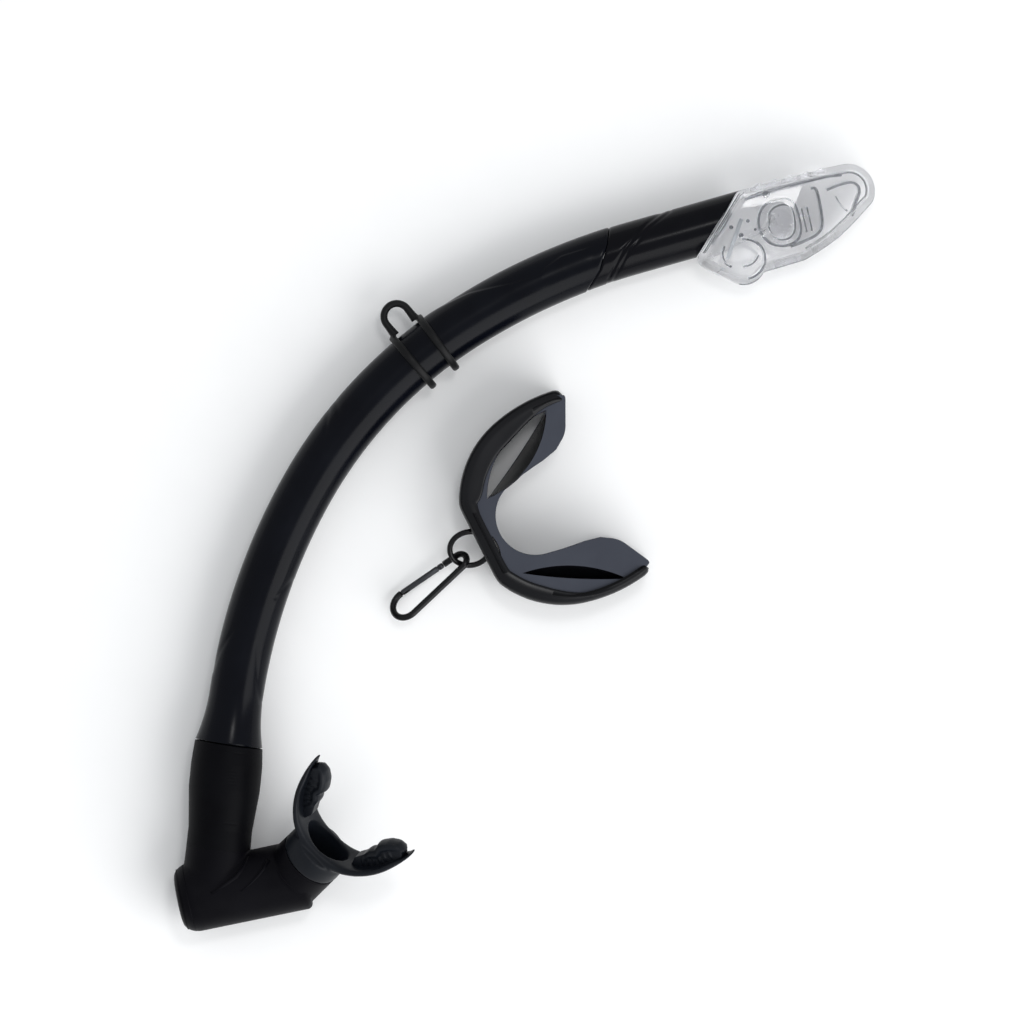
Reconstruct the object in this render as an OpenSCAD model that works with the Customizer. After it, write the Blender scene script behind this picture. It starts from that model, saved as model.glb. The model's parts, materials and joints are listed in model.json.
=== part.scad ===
// Foldable dry-top snorkel with its storage clip, lanyard ring and carabiner.
// It lies on its side: Z is up off the surface, X and Y are in the plane of the barrel's curve.

/* [Barrel] */
// Outside diameter of the barrel
barrel_d = 24; // [22:0.5:25]
// Wall thickness of the barrel
barrel_wall = 2.2; // [1.6:0.1:3]
// Outside diameter where the barrel meets the sleeve
flare_d = 30; // [27:0.5:31]
// Height of the barrel's axis above the surface
axis_z = 15.5; // [15.5:0.1:17]

/* [Mouth unit] */
// Outside diameter of the lower chamber
chamber_d = 31; // [29:0.5:31]
// Length of the lower chamber
chamber_len = 56; // [54:0.5:58]
// Height that the mouth port rises at, in degrees out of the barrel's plane
port_rise = 35; // [30:1:40]
// Width of the bite arch across its tips
arch_w = 60; // [56:1:62]

/* [Keeper] */
// Thickness of the keeper's rubber
keeper_t = 2.8; // [2:0.1:3.1]
// Distance between the keeper's two rings
keeper_pitch = 13.8; // [12:0.2:16]

/* [Storage clip] */
// Outside radius of the storage clip
clip_r = 45.5; // [43:0.5:46]
// Thickness of the clip across both plates
clip_h = 29; // [27:0.5:31]
// Thickness of each plate
plate_t = 2; // [1.5:0.1:2.5]

/* [Lanyard] */
// Wire thickness of the lanyard ring
ring_wire_d = 2.5; // [1.8:0.1:2.6]
// Wire thickness of the carabiner
carabiner_wire_d = 2.9; // [2.2:0.1:3]

/* [Hidden] */
$fn = 64;

// ---- Vectors and arcs -------------------------------------------------------
function dir2(a) = [cos(a), sin(a)];
function turn_centre(p, h, r) = p + r * [sin(h), -cos(h)];
function turn_end(p, h, r, t) = turn_centre(p, h, r) + r * dir2(h + 90 - t);
function arc_points(c, r, a0, a1, n = 24) = [for (i = [0 : n]) c + r * dir2(a0 + (a1 - a0) * i / n)];
function spin_x(v, a) = [v.x, v.y * cos(a) - v.z * sin(a), v.y * sin(a) + v.z * cos(a)];
function spin_y(v, a) = [v.x * cos(a) + v.z * sin(a), v.y, v.z * cos(a) - v.x * sin(a)];
function spin_z(v, a) = [v.x * cos(a) - v.y * sin(a), v.x * sin(a) + v.y * cos(a), v.z];

// ---- Barrel route: a short straight, three tangent bends and a straight top --
barrel_start = [-128.3, -85.1];
start_heading = 81.3;
start_len = 22;
bend_r = [267, 205, 287];
bend_turn = [20.5, 29.1, 15.9];
top_len = 38;

bend_a = barrel_start + start_len * dir2(start_heading);
bend_b = turn_end(bend_a, start_heading, bend_r[0], bend_turn[0]);
heading_b = start_heading - bend_turn[0];
bend_c = turn_end(bend_b, heading_b, bend_r[1], bend_turn[1]);
heading_c = heading_b - bend_turn[1];
top_start = turn_end(bend_c, heading_c, bend_r[2], bend_turn[2]);
heading_top = heading_c - bend_turn[2];
head_joint = top_start + top_len * dir2(heading_top);

barrel_r = barrel_d / 2;
bore_r = barrel_r - barrel_wall;
upper_r = barrel_r - 0.3;

// A profile carried round a bend that turns to the right
module bend(p, h, r, t) {
    c = turn_centre(p, h, r);
    translate([c.x, c.y, axis_z]) rotate([0, 0, h + 90 - t]) rotate_extrude(angle = t, $fn = 180)
        translate([r, 0]) children();
}

// A round profile (distance along, radius) turned about a straight axis
module turned(p, h, from = 0) {
    translate([p.x, p.y, axis_z]) rotate([0, 0, h]) rotate([0, 90, 0]) translate([0, 0, from])
        rotate_extrude() children();
}

module tube_profile(ro, ri) {
    difference() {
        circle(r = ro);
        circle(r = ri);
    }
}

flare_steps = 8;
function flare_r(x) = barrel_r + (flare_d - barrel_d) / 2 * pow(1 - x / start_len, 2);

// The foldable barrel is one soft tube; its four nodes are its flare and its three bends
module barrel_flare() {
    color("#101216") turned(barrel_start, start_heading) polygon(concat([[bore_r, start_len], [bore_r, 0]],
        [for (i = [0 : flare_steps]) [flare_r(start_len * i / flare_steps), start_len * i / flare_steps]]));
}

module barrel_low() {
    color("#101216") bend(bend_a, start_heading, bend_r[0], bend_turn[0]) tube_profile(barrel_r, bore_r);
}

module barrel_mid() {
    color("#101216") bend(bend_b, heading_b, bend_r[1], bend_turn[1]) tube_profile(barrel_r, bore_r);
}

module barrel_high() {
    color("#101216") bend(bend_c, heading_c, bend_r[2], bend_turn[2]) tube_profile(barrel_r, bore_r);
}

// Cuts the slanted joint between the upper tube and the clear head
cut_angle = 59;
module beyond_joint(gap = 0) {
    translate([head_joint.x, head_joint.y, axis_z]) rotate([0, 0, cut_angle - 90]) translate([gap, -50, -50])
        cube([100, 100, 100]);
}

// The rigid upper tube between the soft barrel and the clear head
module upper_tube() {
    color("#0c0e12") difference() {
        turned(top_start, heading_top) translate([bore_r, 0.05]) square([upper_r - bore_r, top_len + 16]);
        beyond_joint();
    }
}

ferrule_len = 12;
ferrule_r = bore_r - 0.05;
// Rigid barbed insert that joins the barrel to the sleeve
module lower_ferrule() {
    color("#2a2c30") turned(barrel_start, start_heading) polygon([[ferrule_r - 1.6, -ferrule_len],
        [ferrule_r - 1.6, 12], [ferrule_r, 12], [ferrule_r, 0.2], [ferrule_r + 0.8, -0.5], [ferrule_r + 0.8, -3],
        [ferrule_r + 0.3, -5], [ferrule_r + 0.8, -5.2], [ferrule_r + 0.3, -8], [ferrule_r + 0.8, -8.2],
        [ferrule_r, -ferrule_len]]);
}

// Short liner that aligns the barrel with the upper tube
module splice_tube() {
    color("#2a2c30") turned(top_start, heading_top, -7) translate([bore_r - 1.5, 0]) square([1.35, 15]);
}

// ---- Clear head --------------------------------------------------------------
head_axis = 14;
head_half_h = 14.5;
shell_t = 1.8;

module in_head() {
    translate([head_joint.x, head_joint.y, axis_z]) rotate([0, 0, head_axis]) children();
}

// Outline of the head in its own plane, pulled in by inset
module head_outline(inset = 0) {
    offset(delta = -inset) polygon(concat([[11.8, 11.8]], arc_points([58, -1], 13, 78, -42, 10),
        arc_points([35, 35], 60, -75, -90, 4), [[17.5, -25]], arc_points([7.5, -19.4], 9.3, -30, -165, 10),
        [[-11.8, -13]]));
}

// The head's closed form: full width at mid thickness, drawn in towards both faces
module head_form(inset = 0) {
    hull() {
        translate([0, 0, inset - 8.5]) linear_extrude(17 - 2 * inset) head_outline(inset);
        translate([0, 0, inset - head_half_h]) linear_extrude(2 * head_half_h - 2 * inset) head_outline(4.5 + inset);
    }
}

seat_hole_r = 7.5;
seat_x = 1.8;
// Frame of the slanted valve seat: X points into the head, square to the joint face
module in_seat() {
    translate([head_joint.x, head_joint.y, axis_z]) rotate([0, 0, cut_angle - 90]) children();
}

module seat_slab() {
    translate([seat_x, -14, -9]) cube([1.6, 27, 18]);
}

module head_shell() {
    difference() {
        in_head() head_form();
        in_head() head_form(shell_t);
        // Slot that the valve's bulkhead sits in
        in_seat() seat_slab();
        // Air slots along the back edge
        in_head() for (i = [0 : 4]) translate([20 + 7 * i, 7, -5]) cube([4.5, 9, 10]);
        // Drain and air inlet under the chin
        in_head() translate([20, -29, -6]) cube([12, 9, 12]);
        // Open where the upper tube comes in
        translate([head_joint.x, head_joint.y, axis_z]) rotate([0, 0, heading_top]) rotate([0, 90, 0])
            translate([0, 0, -20]) cylinder(r = upper_r - 1, h = 26);
        // The slanted joint face
        difference() {
            in_head() translate([-40, -60, -30]) cube([80, 120, 60]);
            beyond_joint(0.15);
        }
    }
}

module head_shell_front() {
    color("#dfe6ec", 0.35) intersection() {
        head_shell();
        translate([0, 0, axis_z + 0.02]) cube([600, 600, 30]);
    }
}

module head_shell_rear() {
    color("#dfe6ec", 0.35) intersection() {
        head_shell();
        translate([0, 0, axis_z - 30.02]) cube([600, 600, 30]);
    }
}

// Bulkhead behind the joint, with the round mouth that the float's seal closes
module seat_plate() {
    color("#d5dde4", 0.4) in_seat() difference() {
        seat_slab();
        rotate([0, 90, 0]) cylinder(r = seat_hole_r, h = 10);
    }
}

module seat_ring() {
    color("#c9d2da", 0.5) in_seat() rotate([0, 90, 0]) translate([0, 0, seat_x + 1.6])
        rotate_extrude() translate([seat_hole_r, 0]) square([1.3, 1.2]);
}

float_pivot = [26.8, 3.8];
float_pin_r = 1.4;
// Pin across the head that the float swings on; its end shows as a small boss
module float_pin() {
    color("#cfd8e0", 0.6) in_head() translate([float_pivot.x, float_pivot.y, 0])
        cylinder(r = float_pin_r, h = 2 * (head_half_h - shell_t) - 0.2, center = true);
}

// Curved wall that keeps spray away from the float
module head_baffle() {
    color("#dbe3ea", 0.4) in_head() linear_extrude(22, center = true) {
        translate([44.6, -9]) square([1.4, 13]);
        difference() {
            translate([36.6, -9]) intersection() {
                circle(r = 9.4);
                translate([0, -10]) square([10, 10]);
            }
            translate([36.6, -9]) circle(r = 8);
        }
    }
}

// Cross bar that stops the float's swing
module stop_post() {
    color("#dbe3ea", 0.4) in_head() translate([38.4, -12, -(head_half_h - shell_t) + 0.1])
        cube([1.4, 10, 2 * (head_half_h - shell_t) - 0.2]);
}

float_half_h = 8;
seal_tilt = 11;
seal_t = 1.6;
// Frame of the seal disc as it hangs open: X square to the disc, from its front face
module in_seal() {
    in_head() translate([float_pivot.x, float_pivot.y, 0]) rotate([0, 0, seal_tilt])
        translate([-float_pivot.x, -float_pivot.y, 0]) rotate([0, 0, cut_angle - 90 - head_axis])
        translate([seat_x + 3, 0, 0]) children();
}

// D-shaped float, hollow, hung from the pin by its lug, with the arm that carries the seal
module float_block() {
    color("#e3e9ee", 0.45) difference() {
        union() {
            in_head() translate([0, 0, -float_half_h]) linear_extrude(2 * float_half_h) difference() {
                translate([26.5, -6.4]) circle(r = 9.6);
                translate([34.5, -20]) square([10, 30]);
            }
            in_head() translate([float_pivot.x, float_pivot.y, -4]) cylinder(r = 3.2, h = 8);
            in_head() translate([24, -2, -4]) cube([5.6, 5, 8]);
            in_head() translate([4, -9, -2]) cube([14.5, 3.4, 4]);
        }
        in_head() translate([float_pivot.x, float_pivot.y, -20]) cylinder(r = float_pin_r + 0.05, h = 40);
        in_head() translate([26.5, -6.4, 1.4 - float_half_h]) cylinder(r = 6, h = 2 * float_half_h - 2.8);
        // The arm ends on the back of the disc
        in_seal() translate([seal_t - 30, -30, -30]) cube([30, 60, 60]);
    }
}

// Soft disc on the float's arm; it shuts against the seat ring
module seal_disc() {
    color("#b9c2ca") in_seal() rotate([0, 90, 0]) cylinder(r = 9.3, h = seal_t);
}

// ---- Mouth unit --------------------------------------------------------------
chamber_r = chamber_d / 2;
chamber_tilt = 11.7;
chamber_end = [-148.9, -153.8];
sleeve_len = 45.5;
sleeve_heading = 84.3;
collar_r = 14.2;
port_r = 14.2;
port_base = [-101, -144];
port_seat = 16;
port_bearing = 45;

// Frame of the mouth port: Z out along the port, Y across the bite arch, X towards the surface
module in_port() {
    translate([port_base.x, port_base.y, axis_z]) rotate([0, 0, port_bearing]) rotate([0, 90 - port_rise, 0])
        children();
}

module along_chamber(from = 0) {
    translate([chamber_end.x, chamber_end.y, axis_z]) rotate([0, 0, chamber_tilt]) rotate([0, 90, 0])
        translate([0, 0, from]) children();
}

// Soft sleeve that the barrel flexes on, slipped over the ferrule and the chamber's spigot
module sleeve() {
    color("#17191c") difference() {
        turned(barrel_start, sleeve_heading) polygon([[11.4, -sleeve_len], [14.2, -sleeve_len], [14, -38],
            [14.8, -30], [15.8, -20], [15.9, -9], [15, 0], [15, 1], [11.4, 1]]);
        turned(barrel_start, start_heading, -0.15) square([20, 10]);
    }
}

chamber_reach = 66;
spigot_top = 32;
// Rigid lower chamber with the spigot for the sleeve and the port for the mouthpiece
module chamber() {
    color("#15171a") difference() {
        union() {
            along_chamber(3) cylinder(r = chamber_r, h = chamber_len - 3);
            turned(barrel_start, sleeve_heading, -chamber_reach)
                square([collar_r, chamber_reach - sleeve_len - 0.05]);
            turned(barrel_start, sleeve_heading, -chamber_reach) square([11.3, chamber_reach - spigot_top]);
            in_port() cylinder(r = port_r, h = port_seat);
            in_port() cylinder(r = 10.4, h = port_seat + 7);
        }
        along_chamber(-1) cylinder(r = chamber_r - 2, h = chamber_len - 1.5);
        turned(barrel_start, sleeve_heading, -chamber_reach) square([9.3, chamber_reach]);
        in_port() cylinder(r = 8.8, h = 40);
    }
}

// Spoked seat of the purge valve, set into the chamber's outer end
module purge_seat() {
    color("#1d1f22") along_chamber(4) difference() {
        cylinder(r = chamber_r - 2.05, h = 1.6);
        for (i = [0 : 5]) rotate([0, 0, 60 * i + 30]) translate([7.4, 0, -1]) cylinder(r = 2.6, h = 4);
        translate([0, 0, -1]) cylinder(r = 1.3, h = 4);
    }
}

// Vented cap over the purge valve
module purge_cover() {
    color("#15171a") along_chamber(-1.6) difference() {
        rotate_extrude() polygon([[0, 0], [13, 0], [14.6, 0.6], [15.4, 2.2], [15.4, 4.5], [13.5, 4.5],
            [13.5, 1.6], [0, 1.6]]);
        for (i = [-2 : 2]) translate([-7 + 0.9 * abs(i), 4 * i - 0.9, -1]) cube([14 - 1.8 * abs(i), 1.8, 4]);
    }
}

// Soft flap of the purge valve, with the stem that holds it in the seat
module purge_flap() {
    color("#3a3d42") along_chamber(2.2) union() {
        cylinder(r = 11.5, h = 0.9);
        cylinder(r = 1.22, h = 5);
    }
}

arch_t_centre = 60;
arch_depth = 39;
arch_wall = 3.4;
function ellipse_points(a, b, a0, a1, n) = [for (i = [0 : n]) let (s = a0 + (a1 - a0) * i / n) [a * sin(s), -b * cos(s)]];

// Curved band of the bite arch, in the plane of the port and the arch (X is down the port)
module arch_band(a, b, t) {
    polygon(concat([for (p = ellipse_points(a, b, -88, 88, 28)) [-(p.y + arch_t_centre), p.x]],
        [for (p = ellipse_points(a - t, b - t - 2, 88, -88, 28)) [-(p.y + arch_t_centre), p.x]]));
}

bite_half_h = 10;
// Soft mouthpiece: the neck that turns on the port, and the flange behind the lips
module mouthpiece() {
    color("#1a1c20") in_port() difference() {
        union() {
            translate([0, 0, port_seat + 0.15]) cylinder(r1 = 13.6, r2 = 12, h = 10);
            intersection() {
                rotate([0, 90, 0]) linear_extrude(2 * bite_half_h, center = true)
                    arch_band(arch_w / 2, arch_depth, arch_wall);
                rotate([90, 0, 0]) linear_extrude(80, center = true) polygon([[-bite_half_h, 18],
                    [bite_half_h, 18], [bite_half_h, 34], [5, 60], [-5, 60], [-bite_half_h, 34]]);
            }
        }
        translate([0, 0, 10]) cylinder(r = 10.45, h = port_seat - 2.9);
        translate([-6, -10.5, 20]) cube([12, 21, 20]);
    }
}

// Pads that the teeth hold, one on each arm of the arch
module bite_pads() {
    color("#14161a") in_port() for (side = [-1, 1]) difference() {
        translate([-2, side == 1 ? 13 : -27, 36]) cube([4, 14, 19]);
        rotate([0, 90, 0]) linear_extrude(30, center = true) difference() {
            translate([-90, -45]) square([90, 90]);
            polygon([for (p = ellipse_points(arch_w / 2 - arch_wall - 0.05, arch_depth - arch_wall - 2.05, -90, 90, 28))
                [-(p.y + arch_t_centre), p.x]]);
        }
    }
}

// ---- Keeper ------------------------------------------------------------------
keeper_turn = 22.5;
keeper_gap = 0.3;
keeper_w = 3.4;
keeper_p = turn_end(bend_b, heading_b, bend_r[1], keeper_turn);
keeper_heading = heading_b - keeper_turn;

// Mask keeper: two rubber rings round the barrel, joined by the loop for the mask strap
module keeper() {
    half = keeper_pitch / 2 / bend_r[1] * 180 / PI;
    wide = keeper_w / bend_r[1] * 180 / PI;
    leg = keeper_pitch / 2 - 1.2;
    reach = barrel_r + 7.6;
    color("#121417") union() {
        for (s = [-1, 1]) bend(turn_end(bend_b, heading_b, bend_r[1], keeper_turn + s * half - wide / 2),
            keeper_heading - s * half + wide / 2, bend_r[1], wide)
            tube_profile(barrel_r + keeper_gap + keeper_t, barrel_r + keeper_gap);
        translate([keeper_p.x, keeper_p.y, axis_z]) rotate([0, 0, keeper_heading]) {
            for (s = [-1, 1]) translate([s * leg, barrel_r + 0.8, 0]) rotate([-90, 0, 0])
                cylinder(r = 1.6, h = reach - barrel_r - 0.8);
            translate([0, reach, 0]) rotate_extrude(angle = 180) translate([leg, 0]) circle(r = 1.6);
        }
    }
}

// ---- Storage clip ------------------------------------------------------------
clip_centre = [18.4, 21.3];
clip_axis = 27;
wall_t = 2;
flat_x = -41.5;
prong_r = 70;
prong_from = 105;
prong_to = 74;
cavity_r = 17.5;

module in_clip() {
    translate([clip_centre.x, clip_centre.y, 0]) rotate([0, 0, clip_axis]) children();
}

// Outer outline of the clip, pulled in by inset and closed across the opening
module clip_outer(inset = 0) {
    up = (clip_r - prong_r) * dir2(prong_from);
    down = (clip_r - prong_r) * dir2(-prong_from);
    intersection() {
        polygon(concat(arc_points(up, prong_r - inset, prong_to, prong_from, 8),
            arc_points([0, 0], clip_r - inset, prong_from, 360 - prong_from, 40),
            arc_points(down, prong_r - inset, -prong_from, -prong_to, 8)));
        translate([flat_x + inset, -100]) square([200, 200]);
    }
}

// The space that the folded snorkel goes into, widening to the mouth
module clip_cavity() {
    hull() {
        translate([-13.3, 0]) circle(r = cavity_r);
        translate([-4, -19.6]) square([12, 39.2]);
    }
    polygon([[0, 19.6], [8, 21.6], [14.8, 26], [28, 52], [60, 52], [60, -52], [28, -52], [14.8, -26],
        [8, -21.6], [0, -19.6]]);
}

// A lens: two arcs that meet at a and b, bulging by the two heights given
module lens(a, b, left, right) {
    mid = (a + b) / 2;
    half = norm(b - a) / 2;
    r_left = (half * half + left * left) / (2 * left);
    r_right = (half * half + right * right) / (2 * right);
    side = [-(b - a).y, (b - a).x] / (2 * half);
    intersection() {
        translate(mid + (left - r_left) * side) circle(r = r_left, $fn = 120);
        translate(mid - (right - r_right) * side) circle(r = r_right, $fn = 120);
    }
}

// Gloss outer wall of the clip, with a lip over each plate and the two ring slots
module clip_rim() {
    color("#0b0d10") in_clip() difference() {
        linear_extrude(clip_h) difference() {
            clip_outer();
            clip_cavity();
        }
        translate([0, 0, 1]) linear_extrude(clip_h - 2) clip_outer(wall_t);
        translate([3, 0, -1]) cylinder(r = clip_r - 3.5, h = clip_h + 2, $fn = 120);
        translate([24, -60, -1]) cube([60, 120, clip_h + 2]);
        for (s = [-1, 1]) translate([flat_x - 1, s > 0 ? 2 : -9.5, clip_h / 2 - 8]) cube([wall_t + 4, 7.5, 16]);
    }
}

module clip_plate(z, main_lens, low_lens) {
    in_clip() translate([0, 0, z]) linear_extrude(plate_t) difference() {
        clip_outer(wall_t + 0.05);
        clip_cavity();
        lens([-29, 16], [12, 39], main_lens[0], main_lens[1]);
        lens([-30, -20], [10, -43], low_lens[1], low_lens[0]);
    }
}

module clip_front_plate() {
    color("#3c3e44") clip_plate(clip_h - 1 - plate_t, [7.2, 5.3], [1.2, 4.5]);
}

module clip_rear_plate() {
    color("#3c3e44") clip_plate(1, [7.2, 1.2], [1.2, 1.2]);
}

// ---- Ring and carabiner --------------------------------------------------------
ring_r = 8.9;
ring_slope = 12;
ring_roll = -32;
ring_hang = 5.2;
link_angle = 24;
ring_wall = spin_z([flat_x + wall_t / 2, 0, 0], clip_axis) + [clip_centre.x, clip_centre.y, clip_h / 2];

function from_ring(v) = spin_z(spin_y(spin_x(v, ring_roll), ring_slope), 180 + clip_axis) + ring_wall;
link = from_ring([ring_hang + ring_r * cos(link_angle), ring_r * sin(link_angle), 0]);

// Ring through the two slots in the clip's wall
module lanyard_ring() {
    color("#0e1013") translate(ring_wall) rotate([0, 0, 180 + clip_axis]) rotate([0, ring_slope, 0])
        rotate([ring_roll, 0, 0]) translate([ring_hang, 0, 0]) rotate_extrude() translate([ring_r, 0])
        circle(d = ring_wire_d);
}

carabiner_heading = 218.9;
carabiner_slope = 5;
carabiner_roll = 40;
link_back = 0.8;
small_r = 3.6;
big_r = 6.6;
body_len = 30.2;
nose_at = 6.6;
flank = asin((big_r - small_r) / body_len);
wire_r = carabiner_wire_d / 2;
gate_hinge_back = 1.6;

// Frame of the carabiner: origin at the small bend's centre, X to the big end, Y to the gate
module in_carabiner() {
    translate(link) rotate([0, 0, carabiner_heading]) rotate([0, carabiner_slope, 0])
        rotate([carabiner_roll, 0, 0]) translate([-link_back, 0, 0]) mirror([0, 1, 0]) children();
}

// Frame of the gate's side: X along the side from the small bend's tangent point
module on_gate_side() {
    rotate([0, 0, flank]) translate([0, small_r, 0]) children();
}

side_len = body_len * cos(flank);
nose_len = nose_at + small_r * sin(flank);
tongue_h = 1;
// Pear-shaped wire hook, open where the gate closes it
module carabiner_frame() {
    color("#0e1013") in_carabiner() difference() {
        union() {
            rotate([0, 0, 90 + flank]) rotate_extrude(angle = 180 - 2 * flank) translate([small_r, 0])
                circle(r = wire_r);
            translate([body_len, 0, 0]) rotate([0, 0, -90 - flank]) rotate_extrude(angle = 180 + 2 * flank)
                translate([big_r, 0]) circle(r = wire_r);
            mirror([0, 1, 0]) on_gate_side() rotate([0, 90, 0]) cylinder(r = wire_r, h = side_len);
            on_gate_side() rotate([0, 90, 0]) cylinder(r = wire_r, h = nose_len);
            on_gate_side() translate([side_len - 3, -0.9, -tongue_h / 2]) cube([4, 1.8, tongue_h]);
            mirror([0, 1, 0]) on_gate_side() for (x = [-0.6, side_len - 0.6]) translate([x, 0, 0])
                rotate([0, 90, 0]) cylinder(r = wire_r + 0.1, h = 1.2);
        }
        on_gate_side() translate([side_len - gate_hinge_back, 0, -3]) cylinder(r = 0.5, h = 6);
    }
}

module gate_pin() {
    color("#8a8d92") in_carabiner() on_gate_side() translate([side_len - gate_hinge_back, 0, 0])
        cylinder(r = 0.46, h = 2.2, center = true);
}

gate_r = 1.3;
// Straight gate, forked over the tongue at its hinge
module gate() {
    color("#4a4d52") in_carabiner() on_gate_side() difference() {
        translate([nose_len + 0.25, 0, 0]) rotate([0, 90, 0])
            cylinder(r = gate_r, h = side_len - nose_len - 0.25 - 0.4);
        translate([side_len - 4.2, -2, -tongue_h / 2 - 0.12]) cube([6, 4, tongue_h + 0.24]);
        translate([side_len - gate_hinge_back, 0, -3]) cylinder(r = 0.5, h = 6);
    }
}

barrel_flare();
barrel_low();
barrel_mid();
barrel_high();
upper_tube();
lower_ferrule();
splice_tube();
head_shell_front();
head_shell_rear();
seat_plate();
seat_ring();
float_pin();
head_baffle();
stop_post();
float_block();
seal_disc();
sleeve();
chamber();
purge_seat();
purge_cover();
purge_flap();
mouthpiece();
bite_pads();
keeper();
clip_rim();
clip_front_plate();
clip_rear_plate();
lanyard_ring();
carabiner_frame();
gate_pin();
gate();
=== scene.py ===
# A foldable dry-top snorkel lying on its side, with its storage clip, ring and carabiner.
# Shapes are in millimetres in the frame's own axes, and mesh() turns them into metres.
# The lights and the camera are in metres.
import json
import math

import bmesh
import bpy
from mathutils import Matrix, Vector
from mathutils.geometry import tessellate_polygon


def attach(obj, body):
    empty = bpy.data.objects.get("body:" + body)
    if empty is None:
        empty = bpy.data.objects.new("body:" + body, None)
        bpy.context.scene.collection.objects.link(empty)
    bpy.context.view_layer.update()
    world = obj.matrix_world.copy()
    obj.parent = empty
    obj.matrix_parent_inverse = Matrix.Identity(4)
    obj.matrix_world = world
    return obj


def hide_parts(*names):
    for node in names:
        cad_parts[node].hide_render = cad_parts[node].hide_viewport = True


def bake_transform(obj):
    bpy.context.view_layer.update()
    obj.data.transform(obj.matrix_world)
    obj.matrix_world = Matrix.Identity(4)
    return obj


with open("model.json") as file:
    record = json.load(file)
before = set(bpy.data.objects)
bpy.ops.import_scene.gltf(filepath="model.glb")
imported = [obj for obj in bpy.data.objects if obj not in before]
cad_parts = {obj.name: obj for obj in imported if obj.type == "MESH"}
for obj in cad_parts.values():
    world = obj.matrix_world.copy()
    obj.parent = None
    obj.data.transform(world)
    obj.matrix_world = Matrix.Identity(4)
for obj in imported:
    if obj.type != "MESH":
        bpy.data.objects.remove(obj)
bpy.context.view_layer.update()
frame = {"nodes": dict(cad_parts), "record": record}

MM = 0.001


# ---- Small helpers -------------------------------------------------------------
def joint(name):
    return next(j for j in frame["record"]["behaviour"]["joints"] if j["name"] == name)


def joint_pos(name):
    return Vector(joint(name)["pos_m"]) / MM


def joint_axis(name):
    return Vector(joint(name)["axis"]).normalized()


def heading(degrees):
    return Vector((math.cos(math.radians(degrees)), math.sin(math.radians(degrees)), 0))


def rectangle(left, right, low, high):
    return [(left, low), (right, low), (right, high), (left, high)]


def smooth_step(low, high, x):
    t = min(1, max(0, (x - low) / (high - low)))
    return t * t * (3 - 2 * t)


def mesh(name, points, faces, material, smooth=True):
    data = bpy.data.meshes.new(name)
    data.from_pydata([Vector(p) * MM for p in points], [], faces)
    outward = bmesh.new()
    outward.from_mesh(data)
    bmesh.ops.recalc_face_normals(outward, faces=outward.faces)
    outward.to_mesh(data)
    outward.free()
    data.update()
    data.materials.append(material)
    for polygon in data.polygons:
        polygon.use_smooth = smooth
    piece = bpy.data.objects.new(name, data)
    bpy.context.scene.collection.objects.link(piece)
    return piece


def skin(name, rings, material, closed=False, capped=True, smooth=True):
    """Faces between rings of points that all have the same count."""
    count = len(rings[0])
    points = [p for ring in rings for p in ring]
    faces = []
    last = len(rings) if closed else len(rings) - 1
    for i in range(last):
        a, b = i * count, (i + 1) % len(rings) * count
        faces += [(a + k, a + (k + 1) % count, b + (k + 1) % count, b + k) for k in range(count)]
    if capped and not closed:
        faces += [tuple(reversed(range(count))), tuple(range(len(points) - count, len(points)))]
    return mesh(name, points, faces, material, smooth)


def apply_modifiers(piece):
    depsgraph = bpy.context.evaluated_depsgraph_get()
    done = bpy.data.meshes.new_from_object(piece.evaluated_get(depsgraph))
    piece.modifiers.clear()
    old = piece.data
    piece.data = done
    bpy.data.meshes.remove(old)


def joined(name, pieces):
    """One mesh of all the pieces' faces."""
    points, faces = [], []
    for piece in pieces:
        base = len(points)
        points += [v.co / MM for v in piece.data.vertices]
        faces += [tuple(base + i for i in p.vertices) for p in piece.data.polygons]
    material = pieces[0].data.materials[0]
    for piece in pieces:
        bpy.data.objects.remove(piece)
    return mesh(name, points, faces, material)


def cut(piece, tool):
    step = piece.modifiers.new("cut", "BOOLEAN")
    step.operation = "DIFFERENCE"
    step.solver = "EXACT"
    step.object = tool
    apply_modifiers(piece)
    bpy.data.objects.remove(tool)


def fused(piece, voxel, passes):
    """Melts overlapping closed shapes into one moulded skin with soft fillets."""
    step = piece.modifiers.new("melt", "REMESH")
    step.mode = "VOXEL"
    step.voxel_size = voxel * MM
    step.use_smooth_shade = True
    if passes:
        relax = piece.modifiers.new("relax", "SMOOTH")
        relax.factor = 0.5
        relax.iterations = passes
    apply_modifiers(piece)
    for polygon in piece.data.polygons:
        polygon.use_smooth = True


def rounded(piece, width, segments=3, angle=35):
    step = piece.modifiers.new("edge", "BEVEL")
    step.width = width * MM
    step.segments = segments
    step.limit_method = "ANGLE"
    step.angle_limit = math.radians(angle)
    step.harden_normals = False
    apply_modifiers(piece)
    for polygon in piece.data.polygons:
        polygon.use_smooth = True
    weigh = piece.modifiers.new("shade", "WEIGHTED_NORMAL")
    weigh.keep_sharp = True


def lathe(name, origin, axis, profile, material, sides=96, radial=None):
    """Turns (distance along, radius) points about an axis; ends on the axis close it."""
    axis = Vector(axis).normalized()
    side = axis.orthogonal().normalized() if radial is None else Vector(radial).normalized()
    other = axis.cross(side)
    rings = []
    for along, radius in profile:
        middle = Vector(origin) + axis * along
        rings.append([middle + (side * math.cos(2 * math.pi * k / sides)
                                + other * math.sin(2 * math.pi * k / sides)) * max(radius, 0.01)
                      for k in range(sides)])
    return skin(name, rings, material)


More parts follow.
